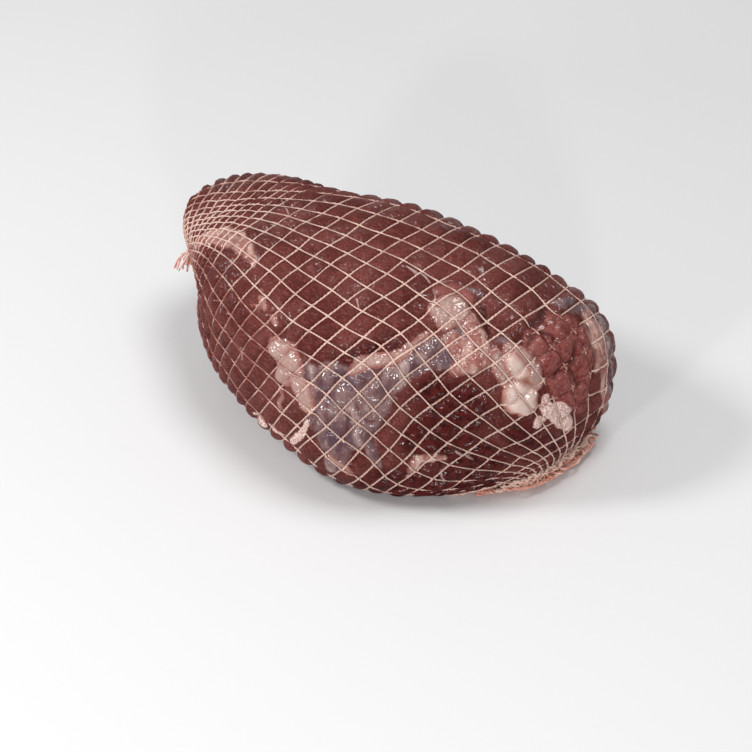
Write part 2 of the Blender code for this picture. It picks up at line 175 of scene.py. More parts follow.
# Strokes laid on the meat: kind, height and rim width, then ring, strand and radius of each point.
STROKES = [
    ("pink", 0.5, 1.8, [(4.4, 12.1, 2.1), (5.2, 11.2, 3.4), (6.2, 10.7, 4.6), (7.3, 10.6, 4.4),
                        (8.2, 10.8, 3.2), (8.8, 11.0, 1.7), (9.3, 11.3, 0.5)]),
    ("fat", 0.4, 1.8, [(6.2, 10.5, 1.6), (7.2, 10.4, 1.8), (8.0, 10.7, 1.0)]),
    ("fat", 0.2, 0.6, [(10.5, 11.9, 0.4), (10.8, 12.0, 0.6)]),
    ("fat", 0.4, 0.9, [(10.8, 12.2, 0.8), (11.2, 12.3, 2.0), (11.6, 12.4, 1.0)]),
    ("fat", 0.3, 0.6, [(10.7, 12.8, 0.4), (11.0, 12.6, 0.6), (11.6, 12.5, 0.4)]),
    ("fat", 0.5, 1.0, [(12.3, 12.5, 1.9), (12.6, 12.6, 1.4)]),
    ("fat", 1.9, 2.8, [(13.5, 13.5, 4.6), (14.1, 13.4, 5.5), (14.7, 13.8, 7.2), (14.9, 14.4, 4.6)]),
    ("fat", 0.9, 2.0, [(15.2, 13.9, 3.6), (15.9, 14.3, 5.0), (16.6, 14.7, 5.0), (17.1, 15.0, 3.6)]),
    ("fat", 0.7, 0.8, [(15.3, 15.1, 0.8), (15.7, 15.3, 0.8), (15.8, 15.7, 1.3), (16.1, 15.9, 1.3)]),
    ("crumb", 0.4, 0.6, [(15.2, 17.2, 1.2), (15.6, 17.2, 1.9), (16.0, 17.2, 1.7)]),
    ("crumb", 0.4, 0.6, [(16.5, 17.1, 1.8), (16.9, 17.0, 1.9), (17.2, 16.9, 1.2)]),
    ("crumb", 0.4, 0.6, [(18.0, 16.8, 1.5), (18.0, 16.4, 1.9), (17.9, 16.0, 1.5), (17.7, 15.6, 1.1)]),
    ("fat", 0.5, 1.2, [(20.1, 16.5, 2.1), (20.7, 16.7, 2.5), (21.5, 17.0, 2.1)]),
    ("fat", 0.8, 1.8, [(17.1, 12.6, 1.8), (17.1, 12.1, 3.0), (17.4, 11.6, 3.2), (17.8, 11.2, 2.9),
                       (17.9, 10.7, 2.1), (17.9, 10.1, 1.7), (17.9, 9.5, 2.1)]),
    ("fat", 1.9, 2.8, [(17.3, 8.1, 5.5), (17.4, 7.6, 5.1), (17.9, 7.7, 4.6), (17.9, 8.5, 3.8)]),
    ("fat", 1.6, 2.4, [(20.8, 8.5, 2.6), (21.4, 8.9, 3.4), (22.1, 9.2, 3.6)]),
    ("lard", 3.6, 4.8, [(22.7, 9.4, 5.3), (23.1, 9.5, 7.4), (23.6, 9.6, 4.8)]),
    ("lard", 2.2, 3.4, [(21.3, 8.2, 3.4), (22.0, 8.4, 4.4)]),
    ("fat", 2.2, 2.8, [(20.9, 7.8, 3.4), (21.5, 7.8, 4.6), (22.2, 7.9, 4.6), (22.9, 8.1, 3.6)]),
    ("pink", 1.2, 2.6, [(18.4, 7.7, 2.5), (19.2, 8.1, 3.8), (19.9, 8.6, 5.1), (20.3, 9.5, 4.6),
                        (20.2, 10.1, 3.0)]),
    ("pink", 0.9, 2.6, [(18.9, 9.0, 3.4), (19.6, 9.1, 4.6), (20.4, 9.1, 4.6), (20.7, 8.6, 3.8)]),
    ("crumb", 1.3, 1.8, [(23.7, 8.3, 1.7), (24.2, 8.5, 2.9), (24.5, 7.9, 4.6), (25.0, 7.6, 4.4),
                         (25.5, 7.3, 3.0)]),
    ("crumb", 1.5, 1.6, [(24.5, 9.5, 2.9)]),
    ("blush", 0.6, 2.0, [(16.5, 7.4, 2.9), (16.8, 7.2, 3.8), (17.1, 7.0, 3.8), (17.6, 7.0, 2.5)]),
    ("blush", 0.0, 2.0, [(21.4, 7.0, 2.6), (22.0, 7.1, 2.6)]),
    ("skin", 0.4, 2.0, [(15.4, 13.5, 3.4), (16.1, 13.8, 6.7), (17.1, 14.4, 8.4), (18.6, 15.3, 8.4),
                        (20.0, 16.2, 5.9), (20.7, 17.0, 2.9)]),
    ("skin", 0.4, 2.0, [(16.6, 13.2, 5.9), (17.6, 13.2, 8.4), (18.6, 14.2, 10.1), (19.6, 15.4, 8.4)]),
    ("skin", 0.4, 2.0, [(18.0, 12.3, 5.9), (18.6, 12.4, 4.2), (18.9, 13.4, 7.6), (19.7, 14.8, 5.9)]),
    ("skin", 0.4, 2.0, [(18.6, 12.4, 5.9), (18.6, 11.6, 5.1), (18.6, 10.7, 5.1), (18.8, 10.0, 5.9),
                        (19.3, 9.8, 5.1), (19.1, 9.2, 5.1), (19.0, 8.4, 4.2)]),
    ("skin", 0.3, 1.0, [(20.7, 15.6, 2.1), (21.5, 16.2, 2.1), (22.1, 16.6, 1.7)]),
    ("skin", 0.3, 1.5, [(21.8, 4.0, 3.8), (22.6, 4.0, 4.2), (23.4, 4.0, 4.2), (24.1, 3.9, 3.8),
                        (24.9, 3.9, 3.8), (26.3, 3.4, 3.4)]),
    ("pink", 0.3, 1.8, [(21.6, 4.3, 2.0), (22.6, 4.2, 2.6), (23.6, 4.2, 2.8), (24.9, 4.1, 2.6),
                        (26.3, 3.6, 2.2)]),
    ("skin", 0.3, 1.5, [(20.4, 4.8, 1.7), (20.9, 4.5, 2.9), (21.5, 4.2, 2.9)]),
    ("skin", 0.4, 0.8, [(20.2, 7.7, 1.5), (20.5, 7.5, 1.3)]),
    ("skin", 0.3, 0.8, [(16.9, 6.6, 0.6), (17.3, 6.6, 1.3), (17.7, 6.5, 1.1)]),
    ("pink", 0.5, 1.2, [(22.1, 4.5, 1.4), (22.8, 4.5, 1.6), (23.4, 4.6, 2.0), (24.0, 4.6, 1.6)]),
    ("pink", 0.3, 1.4, [(23.5, 16.6, 1.8), (23.1, 16.1, 2.1), (23.5, 15.9, 2.0), (23.7, 15.7, 1.4)]),
    ("purple", -0.5, 2.0, [(16.7, 13.7, 2.4), (17.4, 14.1, 2.9)]),
    ("purple", -0.5, 2.0, [(16.9, 12.9, 2.9), (17.6, 13.1, 2.1)]),
    ("purple", -0.4, 2.0, [(18.9, 15.4, 3.4), (19.8, 16.0, 2.5)]),
    ("purple", -0.4, 2.0, [(18.9, 12.7, 2.4)]),
    ("purple", -0.6, 2.0, [(19.4, 9.8, 3.0), (19.4, 9.3, 2.4)]),
    ("film", 0.3, 0.4, [(14.2, 7.4, 0.3), (14.5, 7.2, 0.5), (14.9, 7.2, 0.7), (15.1, 7.1, 0.5),
                        (15.4, 7.2, 0.6), (15.8, 7.3, 0.4)]),
    ("film", 0.2, 0.4, [(16.0, 7.0, 0.3), (16.4, 6.7, 0.3), (16.8, 6.6, 0.3)]),
    ("film", 0.2, 0.4, [(16.2, 7.5, 0.3), (16.6, 7.8, 0.3), (16.8, 8.0, 0.3)]),
    ("film", 0.1, 0.4, [(14.1, 9.7, 0.2), (14.4, 9.8, 0.3), (14.8, 10.1, 0.2)]),
    ("film", 0.1, 0.4, [(6.8, 5.2, 0.2), (7.5, 6.2, 0.3), (8.1, 6.9, 0.2)]),
    ("film", 0.2, 0.5, [(11.9, 14.9, 0.4), (12.1, 15.1, 0.7), (12.5, 15.3, 0.4)]),
    ("film", 0.3, 0.6, [(23.6, 16.6, 0.4), (23.2, 16.1, 0.6), (23.5, 16.1, 0.6), (23.8, 15.6, 0.4)]),
    ("film", 0.3, 0.6, [(23.8, 16.9, 0.9), (23.6, 16.8, 0.7)]),
    ("film", 0.2, 0.5, [(24.2, 16.2, 0.3), (24.8, 16.6, 0.4), (25.2, 16.7, 0.3)]),
    ("film", 0.2, 0.5, [(23.7, 15.1, 0.3), (24.1, 15.2, 0.5), (24.6, 15.1, 0.3)]),
    ("raw", 1.0, 2.4, [(21.2, 6.6, 5.0), (21.2, 6.0, 5.9), (21.5, 5.4, 5.9), (21.9, 5.1, 5.1),
                       (22.6, 4.9, 4.6), (23.4, 5.2, 5.5), (24.2, 5.5, 5.5), (24.8, 5.7, 5.5)]),
    ("raw", 1.0, 2.4, [(21.9, 6.4, 6.7), (22.8, 6.5, 7.6), (23.6, 6.8, 7.6), (24.4, 6.5, 6.5)]),
    ("nodule", 1.8, 3.6, [(16.5, 12.1, 5.0)]),
    ("nodule", 1.5, 3.0, [(16.8, 11.4, 4.2)]),
    ("nodule", 1.3, 3.0, [(17.2, 10.8, 3.8)]),
    ("nodule", 1.0, 2.2, [(23.4, 5.7, 2.5)]),
    ("nodule", 1.8, 2.8, [(23.9, 5.4, 3.8)]),
    ("nodule", 1.4, 2.8, [(22.3, 5.6, 3.6)]),
    ("nodule", 1.6, 3.0, [(21.4, 6.6, 4.4)]),
    ("nodule", 1.4, 3.6, [(22.5, 12.3, 4.6)]),
    ("nodule", 1.6, 2.8, [(24.5, 6.5, 4.2)]),
    ("nodule", 1.2, 2.4, [(23.5, 7.6, 3.2)]),
    ("nodule", 1.2, 3.0, [(21.2, 15.7, 3.8)]),
    ("nodule", 1.2, 3.0, [(22.4, 16.4, 3.8)]),
    ("nodule", 1.7, 3.0, [(22.3, 6.5, 4.4)]),
    ("nodule", 1.7, 3.0, [(23.4, 6.6, 4.0)]),
    ("nodule", 1.5, 2.8, [(22.2, 4.8, 3.6)]),
    # Creases in the cut face: dips whose colour is darkened with painted shade.
    ("shaded crease", -1.8, 1.6, [(23.1, 7.0, 0.5), (23.0, 6.2, 0.6), (23.1, 5.6, 0.5)]),
    ("shaded crease", -1.7, 1.5, [(21.3, 7.1, 0.4), (20.9, 6.3, 0.5), (21.5, 6.0, 0.4), (21.9, 6.0, 0.4)]),
    ("shaded crease", -1.7, 1.5, [(23.0, 5.8, 0.4), (23.3, 6.1, 0.4), (24.1, 5.9, 0.4)]),
    ("shaded crease", -2.6, 1.8, [(20.2, 5.3, 1.6), (20.6, 5.7, 1.6), (20.6, 6.2, 1.3)]),
    ("shaded crease", -1.8, 1.4, [(18.4, 6.9, 0.8), (19.0, 7.3, 0.6), (19.6, 7.7, 0.5)]),
    ("shaded crease", -1.5, 1.4, [(21.3, 4.6, 0.4), (22.1, 4.5, 0.4), (22.8, 4.6, 0.4), (23.7, 4.7, 0.4),
                           (24.2, 4.8, 0.4), (24.6, 5.1, 0.4), (25.2, 4.9, 0.4)]),
    # Wet patches, mostly on the near side toward the thick end: glossier, and darker in colour partly as
    # wet meat and partly as painted shade.
    ("wet", 0.0, 4.0, [(20.5, 12.0, 8.0), (22.0, 12.5, 12.0), (22.5, 15.0, 12.0), (25.0, 15.0, 10.0)]),
    ("wet", 0.0, 4.0, [(21.5, 18.0, 9.0), (24.0, 17.5, 13.0), (26.5, 16.5, 12.0)]),
    ("wet", 0.0, 4.0, [(24.5, 11.5, 6.0), (26.5, 9.0, 5.0)]),
    ("wet", 0.0, 3.0, [(16.5, 12.1, 4.0), (16.8, 11.4, 4.0), (17.2, 10.8, 3.5)]),
]
KINDS = ("fat", "lard", "crumb", "pink", "skin", "purple", "film", "raw", "blush", "shaded crease", "wet")
CLEAN_EDGED = ("film", "shaded crease", "wet")
FAR = 0.008

# Hem bunched along the foot of the thick end, and the frayed tuft at the narrow end.
HEM_CENTRE = (0.040, 0.022)
HEM_FROM_DEGREES = -60
HEM_TO_DEGREES = 92
HEM_LOW = 0.0008
HEM_HIGH = 0.0080
HEM_CLEAR = 0.0010
HEM_BULGE = 0.0026
HEM_CORDS = 8
HEM_CORD_POINTS = 420
HEM_LOOPS = 5
HEM_LOOP_POINTS = 1100
LOOP_HEIGHT = 0.0022
LOOP_LOWEST = 0.0005
HEM_PLY = (0.00040, 0.00032, 0.0036)
LOOP_PLY = (0.00032, 0.00024, 0.0030)
THREAD_PLY = (0.00022, 0.00014, 0.0022)
TUFT_THREADS = 16
TUFT_POINTS = 34
TUFT_DROP = 0.013
TUFT_OUT = 0.0036
TUFT_SPREAD = 0.0050
TUFT_SWAY = 0.0030
TUFT_ROOT = (-0.0016, 0.0, 0.0030)

# Colours, as display values from 0 to 255.
COLOURS = {
    "muscle": (86, 37, 33), "light muscle": (114, 59, 54), "fibre": (138, 76, 70), "pore": (60, 18, 16),
    # The wet muscle colours are darker partly as wet meat and partly as painted shade.
    "wet shaded muscle": (46, 6, 6), "light wet shaded muscle": (90, 27, 24),
    "cut": (112, 49, 45), "light cut": (156, 90, 84), "cut pore": (94, 32, 28),
    "lilac": (128, 100, 99), "dark lilac": (94, 66, 71), "veil": (176, 152, 147), "thin veil": (84, 42, 45),
    "purple": (86, 62, 76), "tissue": (150, 92, 84), "light tissue": (202, 162, 150),
    "fat rim": (144, 88, 79), "cream": (171, 137, 128), "fat patch": (156, 108, 99),
    "lard rim": (162, 104, 92), "pale": (212, 186, 176), "lard patch": (192, 150, 138),
    "crumb": (182, 136, 127), "light crumb": (234, 213, 205),
    # The crease colour is painted shade for the creases of the cut face. The groove colour is painted shade
    # with a little juice stain, along the net's lines.
    "blush": (146, 86, 80), "film": (190, 166, 162), "shaded crease": (58, 20, 18), "groove shade and stain": (70, 28, 25),
    "twine": (228, 194, 180), "twine stain": (158, 92, 80), "fluff": (150, 96, 84),
    "hem twine": (246, 214, 198), "hem stain": (222, 144, 122), "floor": (222, 222, 223),
}

# How far, in millimetres, the edge of each kind of stroke blends into the meat round it.
EDGE_SOFTNESS = {"raw": 0.8, "skin": 1.0, "purple": 1.6, "pink": 0.9, "fat": 0.35, "lard": 0.35,
                 "crumb": 0.35, "blush": 1.4}

# Film of juice on the meat, which shines only where its ripples face up.
RIPPLE_SCALE = 295
RIPPLE_HEIGHT = 0.0037
FACING_UP = (0.26, 0.46)

# Lights: places to the right of the roast, beyond it and above it, then size and power.
LIGHTS = [
    ("left", -0.80, -0.10, 0.85, 0.24, 6.2),
    ("left_front", -0.60, -0.95, 0.40, 0.13, 3.8),
    ("front", 0.10, -1.10, 0.40, 0.11, 2.8),
    ("overhead", 0.25, -0.05, 1.20, 0.50, 6.8),
]
LIGHTS_AIM = Vector((0.0, 0.0, 0.04))
WORLD_COLOUR = (1.0, 0.99, 0.98, 1.0)
WORLD_STRENGTH = 0.33
FLOOR_SIZE = 8.0

CAMERA_TARGET = Vector((-0.0094, 0.0156, 0.0))
CAMERA_AZIMUTH = 43
CAMERA_ELEVATION = 40
CAMERA_DISTANCE = 1.150
CAMERA_LENS = 130.7


def smooth(t):
    """Goes smoothly from zero to one as t does."""
    t = np.clip(t, 0.0, 1.0)
    return t * t * (3.0 - 2.0 * t)


def unit(vectors):
    """The same directions at length one."""
    return vectors / (np.linalg.norm(vectors, axis=-1, keepdims=True) + 1e-12)


def table_curve(key, table, column):
    """Smooth curve through one column of a table, read at key."""
    keys = table[:, 0]
    values = table[:, column]
    slopes = np.gradient(values, keys)
    key = np.clip(key, keys[0], keys[-1])
    row = np.clip(np.searchsorted(keys, key) - 1, 0, len(keys) - 2)
    step = keys[row + 1] - keys[row]
    t = (key - keys[row]) / step
    start = (2 * t**3 - 3 * t**2 + 1) * values[row] + (t**3 - 2 * t**2 + t) * step * slopes[row]
    finish = (3 * t**2 - 2 * t**3) * values[row + 1] + (t**3 - t**2) * step * slopes[row + 1]
    return start + finish


def form_value(points):
    """Negative inside the roast's outer form, zero on it and positive outside."""
    x = points[..., 0]
    z = points[..., 2]
    lean = smooth((z - LEAN_FROM_Z) / LEAN_BLEND_Z) * smooth((LEAN_FROM_X - x) / LEAN_BLEND_X)
    y = points[..., 1] - NECK_LEAN * lean
    middle, half_width, widest, rise, drop = (table_curve(x, SECTIONS, k) for k in range(1, 6))
    height = np.where(z > widest, rise, drop)
    narrow = NARROW_END_X - NECK_REACH * smooth((z - NECK_FROM_Z) / NECK_BLEND_Z)
    thick = THICK_END_X - THICK_CUT * np.maximum(THICK_CUT_Y - y, 0.0) ** 2
    toward_narrow = np.abs(np.minimum(x - MIDDLE_X, 0.0) / (narrow - MIDDLE_X))
    toward_thick = np.abs(np.maximum(x - MIDDLE_X, 0.0) / (thick - MIDDLE_X))
    section = np.abs((y - middle) / half_width) ** SECTION_POWER
    section = section + np.abs((z - widest) / height) ** SECTION_POWER
    solid = toward_narrow**NARROW_POWER + toward_thick**THICK_POWER + section - 1.0
    return np.maximum(solid, -z / FOOT_DEPTH)


def reach(origins, directions):
    """Points where rays from inside leave the form, found by halving."""
    near = np.zeros(origins.shape[:-1])
    far = np.full(origins.shape[:-1], LONGEST_RAY)
    for _ in range(HALVINGS):
        half = (near + far) / 2
        inside = form_value(origins + directions * half[..., None]) < 0
        near = np.where(inside, half, near)
        far = np.where(inside, far, half)
    points = origins + directions * ((near + far) / 2)[..., None]
    points[..., 2] = np.maximum(points[..., 2], 0.0)
    return points


def strand_angle(around):
    """Angle round a ring for a strand's place round the net, in turns. Strands crowd in two bands."""
    angle = np.array(around, float)
    for _ in range(CROWDING_ROUNDS):
        angle = around - CROWDING / (4 * math.pi) * np.sin(4 * math.pi * (angle - CROWDING_AT))
    return angle


def rise(place, height, start, length):
    """Rises smoothly from nothing to a height over a length."""
    return height * smooth((place - start) / length)


def slid(ring, strand):
    """Where the net's lines have slid to, for their even places on the net."""
    place = np.mod(strand, STRAND_COUNT)
    nearness = np.clip((place - SLIDE_AT) / SLIDE_WIDTH, -1.0, 1.0)
    down = (rise(ring, *SLIDE_GAIN) - rise(ring, *SLIDE_LOSS)) * np.cos(math.pi / 2 * nearness) ** 2
    low = smooth((place - DRAG_FROM[0]) / DRAG_FROM[1]) * smooth((DRAG_TO[0] - place) / DRAG_TO[1])
    drag = (rise(ring, *DRAG_FIRST) + rise(ring, *DRAG_MORE)) * low
    drag = drag * smooth((RING_COUNT - ring) / DRAG_END)
    return ring + drag, strand + down


def net_points(ring, strand):
    """Points on the form at net coordinates, in the part's frame."""
    return form_points(*slid(ring, strand))


def form_points(ring, strand):
    """Points on the form where the net would lie if none of it had slid."""
    along = np.clip(ring / RING_COUNT, 0.0, 1.0)
    x, y, z, lean, cone = (table_curve(along, RING_TABLE, k) for k in range(1, 6))
    lean = np.radians(lean)
    cone = np.radians(cone)
    twist = END_TWIST * smooth((along - END_TWIST_FROM) / (1 - END_TWIST_FROM))
    turn = math.tau * (strand_angle(strand / STRAND_COUNT) - twist)
    nothing = np.zeros_like(lean)
    axis = np.stack([np.cos(lean), nothing, -np.sin(lean)], -1)
    side = np.stack([nothing, nothing + 1.0, nothing], -1)
    up = np.cross(axis, side)
    spread = np.cos(turn)[..., None] * side + np.sin(turn)[..., None] * up
    directions = np.cos(cone)[..., None] * axis + np.sin(cone)[..., None] * spread
    return reach(np.stack([x, y, z], -1), directions) - CENTRE


def wander(ring, strand):
    """Small shifts of the net's lines, none at the two ends, so that no two meshes are alike."""
    fade = smooth(ring / WANDER_FADE) * smooth((RING_COUNT - ring) / WANDER_FADE)
    turn = math.tau * strand / STRAND_COUNT
    along = WANDER_WIDE * np.sin(5 * turn + 1.7 * ring) + WANDER_FINE * np.sin(11 * turn - 0.9 * ring + 2.0)
    around = WANDER_WIDE * np.sin(0.8 * ring + 4 * turn) + WANDER_FINE * np.sin(1.9 * ring - 7 * turn + 1.0)
    return ring + fade * along, strand + fade * around


class Surface:
    """The form at net coordinates: points, outward directions and the size of a mesh there."""

    def __init__(self, ring, strand):
        step = 0.05
        self.ring = ring
        self.strand = strand
        self.points = net_points(*wander(ring, strand))
        after = net_points(*wander(ring + step, strand))
        before = net_points(*wander(ring - step, strand))
        along = (after - before) / (2 * step)
        after = net_points(*wander(ring, strand + step))
        before = net_points(*wander(ring, strand - step))
        around = (after - before) / (2 * step)
        self.ring_gap = np.linalg.norm(along, axis=-1)
        self.strand_gap = np.linalg.norm(around, axis=-1)
        self.outward = unit(np.cross(around, along))


def noise(points, size, seed):
    """Smooth lumps from -1 to 1, each about as wide as size."""
    count = 48
    lattice = np.random.default_rng(seed).uniform(-1.0, 1.0, (count, count, count))
    place = points / size + count / 2
    cell = np.floor(place).astype(int)
    t = smooth(place - cell)
    total = np.zeros(points.shape[:-1])
    for corner in np.ndindex(2, 2, 2):
        weight = np.prod(np.where(corner, t, 1.0 - t), axis=-1)
        i, j, k = np.moveaxis((cell + corner) % count, -1, 0)
        total += weight * lattice[i, j, k]
    return total


def lumps(points, layers):
    """Height in metres that layers of lumps add together."""
    return sum(height * MM * noise(points, width * MM, seed) for height, width, seed in layers)


def stroke_distance(points, path, radii):
    """Distance from points to the rim of a stroke, negative inside it."""
    nearest = np.full(len(points), FAR)
    for k in range(max(len(path) - 1, 1)):
        after = min(k + 1, len(path) - 1)
        span = path[after] - path[k]
        share = np.clip((points - path[k]) @ span / max(span @ span, 1e-12), 0.0, 1.0)
        radius = radii[k] + share * (radii[after] - radii[k])
        gap = np.linalg.norm(points - path[k] - share[:, None] * span, axis=-1) - radius
        nearest = np.minimum(nearest, gap)
    return nearest


def features(points):
    """Distances to each kind of stroke, and the height that the strokes add together."""
    edge = lumps(points, EDGE_LAYERS)
    distances = {stroke[0]: np.full(len(points), FAR) for stroke in STROKES}
    raised = np.zeros(len(points))
    lowered = np.zeros(len(points))
    for kind, height, rim, stroke in STROKES:
        stroke = np.array(stroke)
        path = form_points(stroke[:, 0], stroke[:, 1])
        radii = stroke[:, 2] * MM
        margin = radii.max() + FAR
        low, high = path.min(axis=0) - margin, path.max(axis=0) + margin
        near = np.flatnonzero(((points > low) & (points < high)).all(axis=-1))
        gap = stroke_distance(points[near], path, radii)
        if kind not in CLEAN_EDGED:
            gap = gap + edge[near]
        distances[kind][near] = np.minimum(distances[kind][near], gap)
        if kind == "shaded crease":
            depth = height * MM * np.exp(-np.maximum(gap, 0.0) / (rim * MM))
            lowered[near] = np.minimum(lowered[near], depth)
        elif height < 0:
            lowered[near] = np.minimum(lowered[near], height * MM * smooth(-gap / (rim * MM)))
        elif height:
            bulge = height * MM * np.sqrt(smooth(-gap / (rim * MM)))
            raised[near] = np.maximum(raised[near], bulge)
    return distances, raised + lowered


def within(distance):
    """One inside a stroke, zero outside it and blended over its rim."""
    return smooth(0.5 - distance / STROKE_BLEND)


def cell_dome(surface, share):
    """One in the middle of each mesh of the net and zero on its lines."""
    return np.abs(np.sin(math.pi * surface.ring / share) * np.sin(math.pi * surface.strand))


def folds(points):
    """One along the winding folds of a cut face and zero between them."""
    bent = points + FOLD_BEND * noise(points, FOLD_BEND_SIZE, 6)[:, None]
    return smooth(1.0 - np.abs(noise(bent, FOLD_SIZE, 5)) / FOLD_WIDTH)


def relief(surface):
    """Height of the meat over the form at each point, the distances that colour it, and how far
    the net is buried and the meat is clear of it there."""
    points = surface.points
    share = np.where(surface.ring < NECK_RINGS[-1] + NECK_SHARE / 2, NECK_SHARE, 1.0)
    to_ring = np.abs(surface.ring - share * np.rint(surface.ring / share)) * surface.ring_gap
    to_strand = np.abs(surface.strand - np.rint(surface.strand)) * surface.strand_gap
    size = np.minimum(share * surface.ring_gap, surface.strand_gap)
    size = np.clip(size / FULL_MESH, LEAST_MESH, 1.0)
    ring_bite = np.exp(-to_ring / (PINCH_WIDTH * size))
    strand_bite = np.exp(-to_strand / (PINCH_WIDTH * size))
    open_share = (1.0 - ring_bite) * (1.0 - strand_bite)
    distances, raised = features(points)
    buried = within(distances["raw"]) * smooth((surface.ring_gap - SUNK_FROM_MESH) / SUNK_BLEND)
    plump = within(np.minimum(np.minimum(distances["fat"], distances["lard"]), distances["pink"]))
    loose = 1.0 - RAW_HIDES_PINCH * buried * (1.0 - ring_bite * strand_bite)
    loose = loose * (1.0 - PLUMP_HIDES_PINCH * plump)
    ring_pinch = RING_PINCH * ring_bite
    strand_pinch = STRAND_PINCH * strand_bite
    pinch = np.maximum(ring_pinch, strand_pinch) + PINCH_SHARED * np.minimum(ring_pinch, strand_pinch)
    level = (1.0 - RAW_FLATTENS_DOMES * buried) * (1.0 - PLUMP_FLATTENS_DOMES * plump)
    calm = 1.0 - SMOOTH_PARTS_CALM * np.maximum(within(distances["skin"]), plump)
    height = PILLOW_RISE * open_share * size - pinch * size * loose
    height = height + DOME_RISE * size * cell_dome(surface, share) * level
    height = height + (lumps(points, BROAD_LAYERS) - FOLD_DEPTH * buried * folds(points)) * open_share
    height = height + lumps(points, FINE_LAYERS) * calm * open_share
    height = height + raised * (RAISED_UNDER_NET + (1.0 - RAISED_UNDER_NET) * open_share)
    return height, distances, buried, open_share


def add_attribute(thing, name, values):
    """A number for each of a mesh's points, which its material can read."""
    attribute = thing.data.attributes.new(name, "FLOAT", "POINT")
    attribute.data.foreach_set("value", np.asarray(values, dtype=np.float32).ravel())


def add_mesh(name, points, faces, material):
    """A smooth object of one material in the scene."""
    data = bpy.data.meshes.new(name)
    data.from_pydata(points.tolist(), [], faces)
    data.materials.append(material)
    data.shade_smooth()
    thing = bpy.data.objects.new(name, data)
    bpy.context.scene.collection.objects.link(thing)
    return thing


def grid_lines(spans):
    """Places along the net, crowded toward its strands, for each span's steps to a mesh."""
    lines = []
    for first, last, steps in spans:
        share = np.arange((last - first) * steps) / steps
        lines.append(first + share - GRID_PULL / math.tau * np.sin(math.tau * share))
    return np.concatenate(lines)


def make_meat(material):
    """The meat as one mesh, with the kinds of its parts as attributes."""
    rings = np.append(grid_lines(RING_STEPS)[1:], RING_COUNT)
    ring, strand = np.meshgrid(rings, grid_lines(STRAND_STEPS), indexing="ij")
    surface = Surface(ring.ravel(), strand.ravel())
    height, distances, _, open_share = relief(surface)
    points = surface.points + surface.outward * height[:, None]
    points[:, 2] = np.maximum(points[:, 2], 0.0)
    # Two points close the mesh, one at the gather and one on the floor inside the hem.
    start = net_points(np.zeros(1), np.zeros(1))
    finish = np.array([[RING_TABLE[-1, 1], RING_TABLE[-1, 2], 0.0]]) - CENTRE
    index = np.arange(ring.size).reshape(ring.shape)
    after = np.roll(index, -1, axis=1)
    faces = np.stack([index[:-1], after[:-1], after[1:], index[1:]], -1).reshape(-1, 4).tolist()
    faces += [[ring.size, b, a] for a, b in zip(index[0].tolist(), after[0].tolist())]
    faces += [[ring.size + 1, a, b] for a, b in zip(index[-1].tolist(), after[-1].tolist())]
    meat = add_mesh("meat", np.concatenate([points, start, finish]), faces, material)
    for kind in KINDS:
        add_attribute(meat, kind, np.append(distances[kind], [FAR, FAR]) / MM)
    add_attribute(meat, "open", np.append(open_share, [0.0, 0.0]))
    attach(meat, "root")
    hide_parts("roast")
    return meat


def ply_tube(middle, up, across, radii):
    """Rings of points round the middle line of a ply."""
    angle = math.tau * np.arange(PLY_SIDES) / PLY_SIDES
    circle = np.cos(angle)[:, None] * up[:, None] + np.sin(angle)[:, None] * across[:, None]
    tube = middle[:, None] + radii[:, None, None] * circle
    tube[..., 2] = np.maximum(tube[..., 2], TWINE_CLEAR)
    return tube.reshape(-1, 3)


def tube_faces(index, closed):
    """Faces of a tube from the numbers of its points, a row for each ring, capped unless closed."""
    here = index if closed else index[:-1]
    there = np.roll(index, -1, axis=0) if closed else index[1:]
    sides = np.stack([here, np.roll(here, -1, axis=1), np.roll(there, -1, axis=1), there], -1)
    caps = [] if closed else [index[0][::-1].tolist(), index[-1].tolist()]
    return sides.reshape(-1, 4).tolist() + caps


def twine(name, paths, outwards, closed, ply, material, stains, swells=None):
    """Two-ply twine along each path, as one mesh. Outwards are the surface's directions there."""
    radius, offset, pitch = ply
    tubes, faces, tube_stains = [], [], []
    first = 0
    for number, (path, outward) in enumerate(zip(paths, outwards)):
        count = len(path)
        if closed:
            tangent = unit(np.roll(path, -1, axis=0) - np.roll(path, 1, axis=0))
            lengths = np.linalg.norm(np.roll(path, -1, axis=0) - path, axis=-1)
        else:
            tangent = unit(np.gradient(path, axis=0))
            lengths = np.linalg.norm(np.diff(path, axis=0), axis=-1)
        across = unit(np.cross(tangent, outward))
        up = np.cross(across, tangent)
        whole = lengths.sum()
        run = np.concatenate([[0.0], np.cumsum(lengths)])[:count]
        turns = max(round(whole / pitch), 1) if closed else whole / pitch
        radii = radius * (np.ones(count) if swells is None else swells[number])
        for side in (0.0, math.pi):
            phase = math.tau * turns * run / whole + number + side
            middle = path + offset * (np.cos(phase)[:, None] * up + np.sin(phase)[:, None] * across)
            index = first + np.arange(count * PLY_SIDES).reshape(count, PLY_SIDES)
            first += index.size
            tubes.append(ply_tube(middle, up, across, radii))
            faces += tube_faces(index, closed)
            tube_stains.append(np.repeat(stains[number], PLY_SIDES))
    thing = add_mesh(name, np.concatenate(tubes), faces, material)
    add_attribute(thing, "stain", np.concatenate(tube_stains))
    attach(thing, "root")
    return thing


def near_crossing(surface, width):
    """One where a ring crosses a strand, falling off with the distance from there over a width."""
    to_ring = (surface.ring - np.rint(surface.ring)) * surface.ring_gap
    to_strand = (surface.strand - np.rint(surface.strand)) * surface.strand_gap
    return np.exp(-(to_ring**2 + to_strand**2) / width**2)


